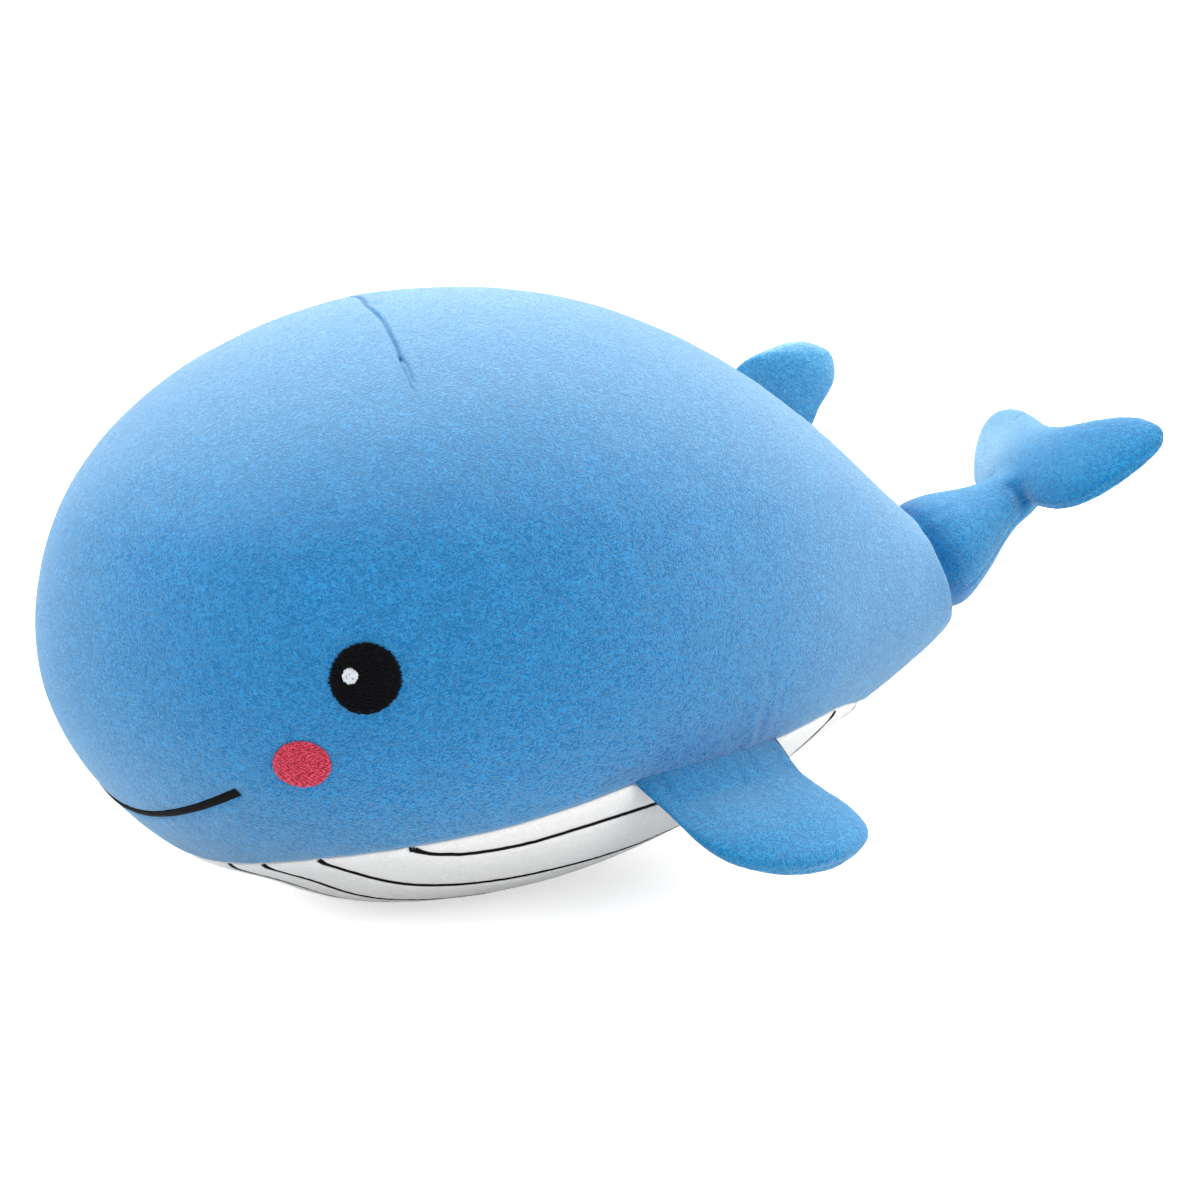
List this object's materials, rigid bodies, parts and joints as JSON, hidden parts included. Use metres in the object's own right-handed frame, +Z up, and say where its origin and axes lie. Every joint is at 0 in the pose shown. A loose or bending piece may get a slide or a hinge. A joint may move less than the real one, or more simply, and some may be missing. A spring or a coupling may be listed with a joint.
{
  "type": "plush whale",
  "caption": "Stuffed whale toy with a swollen round body, pale belly panel with stitched lines, springy side flippers, a back fin and a raised forked tail.",
  "frame": {"origin": "middle of the bounding box's bottom, on the floor that the belly rests on", "axes": "-X towards the head, +X towards the tail, -Y the whale's left side, +Z up"},
  "size_m": [0.4824, 0.2966, 0.2358],
  "materials": {
    "blue_velvet": "short brushed pile",
    "white_velvet": "short brushed pile",
    "fibre_filling": "loose fibre",
    "black_thread": "satin stitching",
    "white_thread": "satin stitching",
    "pink_thread": "satin stitching"
  },
  "bodies": {
    "whale_body": {"back_skin": "blue_velvet", "belly_skin": "white_velvet", "body_filling": "fibre_filling", "left_eye": "black_thread", "right_eye": "black_thread", "left_eye_glint": "white_thread", "right_eye_glint": "white_thread", "left_cheek": "pink_thread", "right_cheek": "pink_thread", "mouth": "black_thread", "left_belly_line_1": "black_thread", "left_belly_line_2": "black_thread", "left_belly_line_3": "black_thread", "left_belly_line_4": "black_thread", "right_belly_line_1": "black_thread", "right_belly_line_2": "black_thread", "right_belly_line_3": "black_thread", "right_belly_line_4": "black_thread"},
    "left_flipper": {"left_flipper_top_skin": "blue_velvet", "left_flipper_under_skin": "blue_velvet", "left_flipper_filling": "fibre_filling"},
    "right_flipper": {"right_flipper_top_skin": "blue_velvet", "right_flipper_under_skin": "blue_velvet", "right_flipper_filling": "fibre_filling"},
    "back_fin": {"back_fin_left_skin": "blue_velvet", "back_fin_right_skin": "blue_velvet", "back_fin_filling": "fibre_filling"},
    "tail": {"tail_top_skin": "blue_velvet", "tail_under_skin": "blue_velvet", "tail_filling": "fibre_filling"}
  },
  "joints": [
    {"name": "left_flipper_swing", "type": "hinge", "parent": "whale_body", "child": "left_flipper", "pos_m": [-0.01844, -0.10537, 0.05995], "axis": [-0.9668, -0.2547, -0.0218], "range_deg": [-20, 40], "stiffness_Nm_per_rad": 0.05},
    {"name": "right_flipper_swing", "type": "hinge", "parent": "whale_body", "child": "right_flipper", "pos_m": [-0.01844, 0.10537, 0.05995], "axis": [0.9668, -0.2547, 0.0218], "range_deg": [-20, 40], "stiffness_Nm_per_rad": 0.05},
    {"name": "back_fin_sway", "type": "hinge", "parent": "whale_body", "child": "back_fin", "pos_m": [0.07789, 0, 0.18119], "axis": [0.8037, 0, -0.5951], "range_deg": [-35, 35], "stiffness_Nm_per_rad": 0.05},
    {"name": "tail_lift", "type": "hinge", "parent": "whale_body", "child": "tail", "pos_m": [0.1558, 0, 0.10376], "axis": [0, -1, 0], "range_deg": [-12, 20], "stiffness_Nm_per_rad": 0.3}
  ]
}
